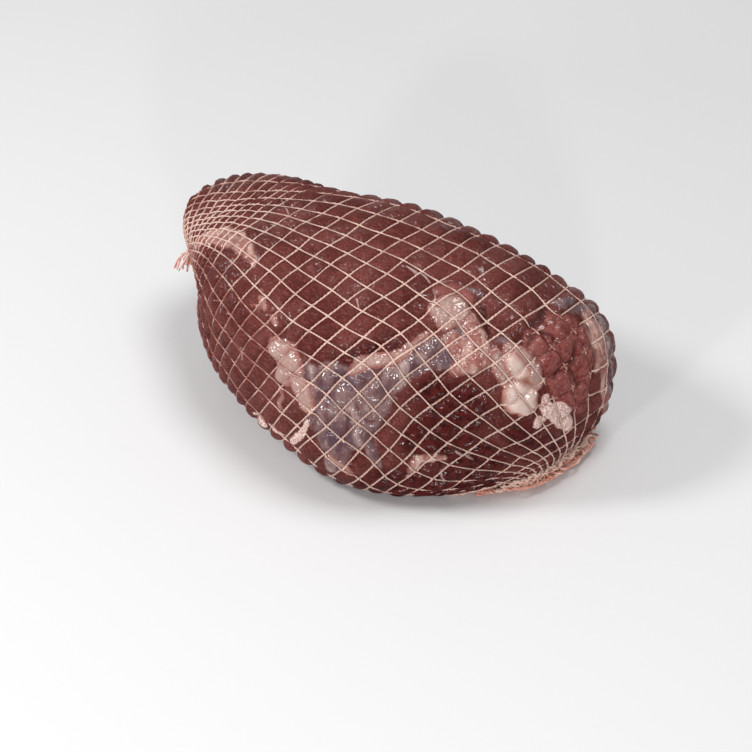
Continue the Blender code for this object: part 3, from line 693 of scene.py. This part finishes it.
def laid_paths(routes, crossing_lift):
    """Routes in net coordinates laid on the meat: paths, directions outward, crossings and stains."""
    ring = np.concatenate([route[0] for route in routes])
    strand = np.concatenate([route[1] for route in routes])
    surface = Surface(ring, strand)
    height, _, buried, _ = relief(surface)
    crossing = near_crossing(surface, CROSSING_WIDTH)
    sunk = BURIED_DEPTH * buried * (1.0 - near_crossing(surface, SURFACING_WIDTH))
    height = height + TWINE_LIFT + crossing_lift * crossing - sunk
    points = surface.points + surface.outward * height[:, None]
    points[:, 2] = np.maximum(points[:, 2], FLOOR_CLEAR)
    stain = np.clip(net_stain(ring, strand, points) + BURIED_STAIN * buried, 0.0, 1.0)
    cuts = np.cumsum([len(route[0]) for route in routes])[:-1]
    return [np.split(values, cuts) for values in (points, surface.outward, crossing, stain)]


def net_stain(ring, strand, points):
    """How far meat juice has coloured the twine: most at the gather, on the left side and low down."""
    gather = 0.35 * smooth((4.0 - ring) / 4.0)
    hem = 0.10 * smooth((ring - 26.0) / 4.0)
    foot = 0.20 * smooth((0.014 - points[:, 2]) / 0.014)
    left_side = 0.75 * smooth((strand - 11.0) / 3.0) * smooth((17.5 - ring) / 4.0)
    far_top = 0.30 * smooth((9.5 - strand) / 5.0) * smooth((19.0 - ring) / 5.0)
    patches = 0.22 * noise(points, 9 * MM, 41) + 0.15 * noise(points, 3 * MM, 42)
    return np.clip(LEAST_STAIN + gather + hem + foot + left_side + far_top + patches, 0.0, 1.0)


def even_steps(ring, strand, step):
    """Net coordinates spaced evenly along the path that they follow on the form."""
    points = net_points(ring, strand)
    run = np.concatenate([[0.0], np.cumsum(np.linalg.norm(np.diff(points, axis=0), axis=-1))])
    count = max(int(run[-1] / step), LEAST_STEPS)
    even = np.linspace(0.0, run[-1], count + 1)
    return np.interp(even, run, ring), np.interp(even, run, strand)


def make_ring_twine(material):
    """The net's rings, with the closer ones at the narrow end. They thicken toward the hem."""
    routes = []
    for number in np.concatenate([NECK_RINGS, np.arange(1, RING_COUNT + 1)]):
        around = np.linspace(0.0, STRAND_COUNT, LINE_POINTS)
        ring, strand = even_steps(np.full(LINE_POINTS, float(number)), around, RING_TWINE_STEP)
        routes.append((ring[:-1], strand[:-1]))
    paths, outwards, crossings, stains = laid_paths(routes, 0.0)
    swells = [1.0 + 0.25 * crossing + 0.3 * smooth((route[0] - 21.0) / 4.0)
              for crossing, route in zip(crossings, routes)]
    twines = twine("net_rings", paths, outwards, True, RING_PLY, material, stains, swells)
    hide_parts("netting")
    return twines


def make_strand_twine(material):
    """The net's lengthwise strands, which pass over the rings."""
    routes = []
    for number in range(STRAND_COUNT):
        along = np.linspace(FIRST_STRAND_RING, RING_COUNT, LINE_POINTS)
        routes.append(even_steps(along, np.full(LINE_POINTS, float(number)), STRAND_TWINE_STEP))
    paths, outwards, crossings, stains = laid_paths(routes, CROSSING_LIFT)
    swells = [1.0 + 0.6 * crossing for crossing in crossings]
    twines = twine("net_strands", paths, outwards, False, STRAND_PLY, material, stains, swells)
    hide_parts("netting")
    return twines


def hem_foot(share, height):
    """Places on the meat along the hem, from 0 to 1, at a height; and directions away from it."""
    angle = np.radians(HEM_FROM_DEGREES + (HEM_TO_DEGREES - HEM_FROM_DEGREES) * share)
    outward = np.stack([np.cos(angle), np.sin(angle), np.zeros_like(angle)], -1)
    centre = np.empty_like(outward)
    centre[:, :2] = HEM_CENTRE
    centre[:, 2] = height
    return reach(centre, outward) - CENTRE, outward


def hem_fullness(share):
    """How full the hem is: it grows over the first third of its length and ends in the last ninth."""
    return smooth(3 * share) * smooth(9 * (1 - share))


def make_hem(material):
    """Cords of the rolled hem, which lean on the foot of the thick end and wind round one another."""
    paths, outwards, stains = [], [], []
    for number in range(HEM_CORDS):
        share = np.linspace(0.025 * number, 1.0 - 0.008 * number, HEM_CORD_POINTS)
        thickness = 0.30 + 0.70 * hem_fullness(share)
        level = (number + 0.5) / HEM_CORDS
        swing = 0.22 * np.sin(math.tau * (5.5 + 0.9 * number) * share + 2.3 * number)
        level = np.clip(level + swing + 0.05 * np.sin(97 * share + number), 0.0, 1.0)
        foot, outward = hem_foot(share, HEM_LOW + (HEM_HIGH - HEM_LOW) * thickness * level)
        bulge = HEM_BULGE * thickness * np.sin(math.pi * np.clip(level * 0.8 + 0.2, 0, 1))
        ripple = 0.7 * MM * np.sin(61 * share + 1.9 * number) + 0.4 * MM * np.sin(143 * share + number)
        paths.append(foot + outward * (HEM_CLEAR + np.maximum(bulge + ripple, 0.0))[:, None])
        outwards.append(outward + np.array([0.0, 0.0, 0.6]))
        stains.append(np.clip(1.05 - 0.95 * level + 0.2 * np.sin(19 * share + number), 0, 1))
    cords = twine("hem_cords", paths, outwards, False, HEM_PLY, material, stains)
    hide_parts("net_hem")
    return cords


def make_hem_loops(material):
    """Thin slack cords that curl out of the hem in small loops."""
    paths, outwards, stains = [], [], []
    for number in range(HEM_LOOPS):
        share = np.linspace(0.05 * number, 1.0 - 0.015 * number, HEM_LOOP_POINTS)
        turn = math.tau * (16 + 3 * number) * share + 2.0 * np.sin(9 * share + number)
        grown = hem_fullness(share)
        size = (2.1 + 1.1 * np.sin(23 * share + 2 * number)) * MM * grown
        height = LOOP_HEIGHT + size * (np.sin(turn + 1.0 + number) + 0.3)
        foot, outward = hem_foot(share, np.maximum(height, LOOP_LOWEST))
        along = np.stack([-outward[:, 1], outward[:, 0], outward[:, 2]], -1)
        out = HEM_CLEAR + HEM_BULGE * grown + size * (0.3 + 0.7 * np.cos(turn))
        paths.append(foot + outward * out[:, None] + along * (1.3 * size * np.sin(turn))[:, None])
        outwards.append(np.array([0.0, 0.0, 1.0]) + 0.3 * outward)
        stains.append(np.clip(0.80 + 0.2 * np.sin(31 * share + number), 0, 1))
    loops = twine("hem_loops", paths, outwards, False, LOOP_PLY, material, stains)
    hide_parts("net_hem")
    return loops


def make_tuft(material):
    """Cut ends of the gathered net, frayed and hanging from the narrow end."""
    chance = np.random.default_rng(7)
    root = net_points(np.zeros(1), np.zeros(1))[0] + TUFT_ROOT
    share = np.linspace(0.0, 1.0, TUFT_POINTS)
    paths, outwards, stains = [], [], []
    for _ in range(TUFT_THREADS):
        drop = TUFT_DROP * chance.uniform(0.45, 1.0)
        side = chance.uniform(-1.0, 1.0)
        out = chance.uniform(0.2, 1.0)
        bend = chance.uniform(0, math.tau)
        curl = chance.uniform(0.4, 1.3) * MM
        x = curl * np.sin(5 * share + bend) - TUFT_OUT * out * np.sin(1.6 * share)
        y = curl * np.cos(6 * share + bend) + (TUFT_SPREAD * side - TUFT_SWAY) * share
        z = 0.5 * curl * np.sin(7 * share + bend) - drop * share**1.2
        paths.append(root + np.stack([x, y, z], -1))
        outwards.append(np.broadcast_to([-1.0, 0.2, 0.3], (TUFT_POINTS, 3)))
        stains.append(np.clip(0.7 + 0.3 * chance.uniform(-1, 1) + 0.2 * share, 0, 1))
    threads = twine("tuft_threads", paths, outwards, False, THREAD_PLY, material, stains)
    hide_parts("net_tuft")
    return threads


class Shader:
    """A node material; each call adds one node, fed by values or by other nodes' outputs."""

    def __init__(self, name):
        self.material = bpy.data.materials.new(name)
        self.material.use_nodes = True
        self.tree = self.material.node_tree
        self.principled = self.tree.nodes["Principled BSDF"]

    def node(self, kind, inputs, output=0, **settings):
        """Add a node and feed its inputs; gives back one of its outputs."""
        made = self.tree.nodes.new(kind)
        for key, value in settings.items():
            setattr(made, key, value)
        for key, value in inputs.items():
            self.feed(made, key, value)
        return made.outputs[output]

    def feed(self, node, key, value):
        """Link another node's output to an input, or set the input to a value."""
        if isinstance(value, bpy.types.NodeSocket):
            self.tree.links.new(value, node.inputs[key])
        else:
            node.inputs[key].default_value = value

    def finish(self, **values):
        """Feed the material's own inputs, named with _ for a space, and give back the material."""
        for key, value in values.items():
            self.feed(self.principled, key.replace("_", " "), value)
        return self.material

    def attribute(self, name):
        return self.node("ShaderNodeAttribute", {}, "Fac", attribute_name=name)

    def noise(self, scale, detail, roughness=0.55, stretch=None, distortion=0.0):
        """Noise with lumps of about 1/scale metres, stretched along an axis if asked."""
        place = self.node("ShaderNodeTexCoord", {}, "Object")
        if stretch:
            place = self.node("ShaderNodeMapping", {"Vector": place, "Scale": stretch[:3],
                                                    "Rotation": stretch[3]})
        return self.node("ShaderNodeTexNoise", {
            "Vector": place, "Scale": scale, "Detail": detail, "Roughness": roughness,
            "Distortion": distortion}, "Fac")

    def math(self, operation, first, second, third=0.0):
        return self.node("ShaderNodeMath", {0: first, 1: second, 2: third}, operation=operation)

    def strongest(self, first, *others):
        """The greatest of some numbers."""
        for other in others:
            first = self.math("MAXIMUM", first, other)
        return first

    def ramp(self, value, low, high, start=0.0, finish=1.0):
        """Goes smoothly from start to finish while the value goes from low to high."""
        return self.node("ShaderNodeMapRange", {
            "Value": value, "From Min": low, "From Max": high, "To Min": start, "To Max": finish},
            interpolation_type="SMOOTHSTEP")

    def bump(self, height, strength, distance):
        """Normals tilted as if the surface had a height's ripples."""
        return self.node("ShaderNodeBump", {"Height": height, "Strength": strength, "Distance": distance})

    def mix(self, share, first, second):
        """Blend of two colours."""
        return self.node("ShaderNodeMix", {0: share, 6: first, 7: second}, 2, data_type="RGBA")

    def blend(self, share, first, second):
        """Blend of two numbers."""
        return self.node("ShaderNodeMix", {0: share, 2: first, 3: second}, 0, data_type="FLOAT")

    def mottle(self, pattern, low, high, first, second, most=1.0):
        """Goes from one colour toward another while a pattern goes from low to high."""
        return self.mix(self.ramp(pattern, low, high, 0.0, most), first, second)

    def over(self, tone, mask, strength, top):
        """A colour with another laid over it where a mask is."""
        return self.mix(self.math("MULTIPLY", mask, strength), tone, top)

    def mask(self, kind, softness, wobble):
        """One inside the strokes of a kind and zero outside, with an edge broken up by noise."""
        gap = self.math("ADD", self.attribute(kind), wobble)
        return self.ramp(gap, softness, -softness)


def colour(name):
    """Linear colour for one of the named display colours."""
    def linear(value):
        value = value / 255
        return value / 12.92 if value < 0.04045 else ((value + 0.055) / 1.055) ** 2.4
    red, green, blue = COLOURS[name]
    return (linear(red), linear(green), linear(blue), 1.0)


class MeatShader(Shader):
    """The meat's material, with the patterns and masks that its tones share."""

    def __init__(self):
        super().__init__("raw_beef")
        self.broad = self.noise(60, 4.0)
        self.fine = self.noise(420, 4.0, 0.6)
        self.tiny = self.noise(1500, 3.0, 0.6)
        self.fibres = self.noise(300, 4.0, 0.6, stretch=(1.0, 5.0, 3.0, (0.3, 0.5, 0.9)))
        self.veils = self.noise(150, 5.0, 0.62, stretch=(1.0, 1.0, 0.35, (0.0, 0.0, 0.0)), distortion=0.8)
        wobble = self.math("MULTIPLY_ADD", self.fine, 1.6, -0.8)
        self.masks = {kind: self.mask(kind, edge, wobble) for kind, edge in EDGE_SOFTNESS.items()}
        self.masks["film"] = self.mask("film", 0.25, 0.0)
        # Mask of the painted shade in the creases.
        self.masks["shaded crease"] = self.ramp(self.attribute("shaded crease"), 0.9, -0.3)
        self.masks["wet"] = self.ramp(self.attribute("wet"), 4.0, -4.0)

    def muscle(self):
        """Muscle in three states: matt, wet and cut. The wet muscle's darker colour is partly its own and
        partly painted shade, mostly on the near side toward the thick end.
        """
        tone = self.mottle(self.broad, 0.35, 0.65, colour("muscle"), colour("light muscle"))
        tone = self.mottle(self.fibres, 0.45, 0.72, tone, colour("fibre"), 0.6)
        tone = self.mottle(self.tiny, 0.54, 0.42, tone, colour("pore"), 0.55)
        wet_shaded = self.mottle(self.fine, 0.3, 0.7, colour("wet shaded muscle"), colour("light wet shaded muscle"))
        cut = self.mottle(self.fine, 0.3, 0.7, colour("cut"), colour("light cut"))
        cut = self.mottle(self.tiny, 0.52, 0.40, cut, colour("cut pore"), 0.5)
        # The wet strokes' darker muscle is partly painted shade.
        tone = self.mix(self.masks["wet"], tone, wet_shaded)
        return self.mix(self.masks["raw"], tone, cut)

    def silverskin(self, tone):
        """Lilac skin with pale veils, its purple hollows and the pink tissue beside it."""
        lilac = self.mottle(self.broad, 0.42, 0.60, colour("lilac"), colour("dark lilac"))
        lilac = self.mottle(self.veils, 0.50, 0.66, lilac, colour("veil"), 0.85)
        lilac = self.mottle(self.veils, 0.47, 0.34, lilac, colour("thin veil"), 0.75)
        tissue = self.mottle(self.veils, 0.42, 0.60, colour("tissue"), colour("light tissue"))
        tone = self.over(tone, self.masks["skin"], 0.92, lilac)
        tone = self.over(tone, self.masks["purple"], 0.6, colour("purple"))
        return self.over(tone, self.masks["pink"], 0.9, tissue)

    def fat(self, tone):
        """Cream fat, pale lard and crumbs of fat, pinker at their rims."""
        cream = self.mottle(self.attribute("fat"), 0.0, -2.4, colour("fat rim"), colour("cream"))
        cream = self.mottle(self.fine, 0.50, 0.74, cream, colour("fat patch"), 0.6)
        pale = self.mottle(self.attribute("lard"), 0.0, -3.0, colour("lard rim"), colour("pale"))
        pale = self.mottle(self.fine, 0.55, 0.78, pale, colour("lard patch"), 0.5)
        crumbs = self.mottle(self.tiny, 0.40, 0.60, colour("crumb"), colour("light crumb"))
        tone = self.mix(self.masks["fat"], tone, cream)
        tone = self.mix(self.masks["lard"], tone, pale)
        return self.mix(self.masks["crumb"], tone, crumbs)

    def marks(self, tone):
        """Blushes, thin films, painted shade in the creases, and painted shade with a little juice stain
        along the net's lines.
        """
        tone = self.over(tone, self.masks["blush"], 0.75, colour("blush"))
        tone = self.over(tone, self.masks["film"], 0.85, colour("film"))
        # Painted shade darkens the creases.
        tone = self.over(tone, self.masks["shaded crease"], 0.75, colour("shaded crease"))
        # Painted shade, with a little reddish juice stain, darkens the meat where the net's lines pinch it.
        return self.mottle(self.attribute("open"), 0.45, 0.0, tone, colour("groove shade and stain"), 0.55)

    def juice(self, soft_parts, ripples):
        """How much the film of juice shines: most on soft parts, and only where it faces up."""
        shine = self.ramp(self.noise(45, 2.0), 0.44, 0.62, 0.05, 0.36)
        shine = self.blend(self.strongest(self.masks["wet"], self.masks["raw"]), shine, 0.38)
        shine = self.blend(soft_parts, shine, 0.88)
        upward = self.node("ShaderNodeSeparateXYZ", {"Vector": ripples}, "Z")
        return self.math("MULTIPLY", shine, self.ramp(upward, *FACING_UP))


def meat_material():
    """Muscle, fat, silverskin and fascia, each where its strokes are, under a film of juice."""
    shade = MeatShader()
    masks = shade.masks
    soft_parts = shade.strongest(masks["skin"], masks["fat"], masks["pink"], masks["lard"])
    rough = shade.ramp(shade.fine, 0.3, 0.7, 0.42, 0.62)
    rough = shade.blend(masks["wet"], rough, 0.30)
    rough = shade.blend(shade.strongest(soft_parts, masks["raw"]), rough, 0.28)
    ripples = shade.bump(shade.noise(RIPPLE_SCALE, 0.4, 0.5, distortion=0.4), 1.0, RIPPLE_HEIGHT)
    grain = shade.math("MULTIPLY_ADD", shade.fibres, 0.5, shade.fine)
    grain = shade.math("MULTIPLY_ADD", shade.tiny, 0.5, grain)
    return shade.finish(
        Base_Color=shade.marks(shade.fat(shade.silverskin(shade.muscle()))),
        Roughness=rough, Specular_IOR_Level=0.06, Normal=shade.bump(grain, 0.9, 0.0008),
        Coat_Weight=shade.juice(soft_parts, ripples), Coat_Roughness=0.17, Coat_IOR=1.85,
        Coat_Normal=ripples,
        Subsurface_Weight=0.12, Subsurface_Radius=(1.0, 0.35, 0.25), Subsurface_Scale=0.0025)


def twine_material(name, clean, stained):
    """Cotton twine, coloured by meat juice as its stain attribute says."""
    shade = Shader(name)
    patch = shade.noise(260, 3.0)
    fluff = shade.noise(3500, 3.0, 0.7)
    amount = shade.math("ADD", shade.attribute("stain"), shade.ramp(patch, 0.3, 0.7, -0.3, 0.3))
    tone = shade.mottle(amount, 0.2, 1.1, colour(clean), colour(stained))
    tone = shade.mottle(fluff, 0.35, 0.65, tone, colour("fluff"), 0.35)
    return shade.finish(Base_Color=tone, Roughness=shade.ramp(fluff, 0.3, 0.7, 0.6, 0.85),
                        Sheen_Weight=0.2, Normal=shade.bump(fluff, 0.6, 0.0002))


def make_floor():
    """A pale floor under the roast."""
    bpy.ops.mesh.primitive_plane_add(size=FLOOR_SIZE, location=(0.0, 0.0, 0.0))
    floor = bpy.context.object
    floor.name = "floor"
    floor.data.materials.append(Shader("pale_floor").finish(Base_Color=colour("floor"), Roughness=0.6))


def view_axes():
    """Level directions to the camera's right and away from it, and straight up."""
    azimuth = math.radians(CAMERA_AZIMUTH)
    right = Vector((math.cos(azimuth), math.sin(azimuth), 0.0))
    away = Vector((-math.sin(azimuth), math.cos(azimuth), 0.0))
    return right, away, Vector((0.0, 0.0, 1.0))


def make_lights():
    """Round soft lights that shine at the roast, and the light of the room."""
    right, away, up = view_axes()
    for name, rightward, beyond, above, size, power in LIGHTS:
        light = bpy.data.lights.new(name, "AREA")
        light.shape = "DISK"
        light.size = size
        light.energy = power
        lamp = bpy.data.objects.new(name, light)
        lamp.location = rightward * right + beyond * away + above * up
        lamp.rotation_euler = (LIGHTS_AIM - lamp.location).to_track_quat("-Z", "Y").to_euler()
        bpy.context.scene.collection.objects.link(lamp)
    world = bpy.data.worlds.new("studio")
    world.use_nodes = True
    background = world.node_tree.nodes["Background"]
    background.inputs["Color"].default_value = WORLD_COLOUR
    background.inputs["Strength"].default_value = WORLD_STRENGTH
    bpy.context.scene.world = world
    bpy.context.scene.view_settings.view_transform = "Standard"


def make_camera():
    """The photo's camera."""
    data = bpy.data.cameras.new("camera")
    data.lens = CAMERA_LENS
    camera = bpy.data.objects.new("camera", data)
    _, away, up = view_axes()
    elevation = math.radians(CAMERA_ELEVATION)
    back = math.sin(elevation) * up - math.cos(elevation) * away
    camera.location = CAMERA_TARGET + CAMERA_DISTANCE * back
    camera.rotation_euler = (-back).to_track_quat("-Z", "Y").to_euler()
    bpy.context.scene.collection.objects.link(camera)
    bpy.context.scene.camera = camera


make_camera()
make_meat(meat_material())
net = twine_material("net_twine", "twine", "twine stain")
make_ring_twine(net)
make_strand_twine(net)
stained = twine_material("stained_twine", "hem twine", "hem stain")
make_hem(stained)
make_hem_loops(stained)
make_tuft(stained)
make_floor()
make_lights()
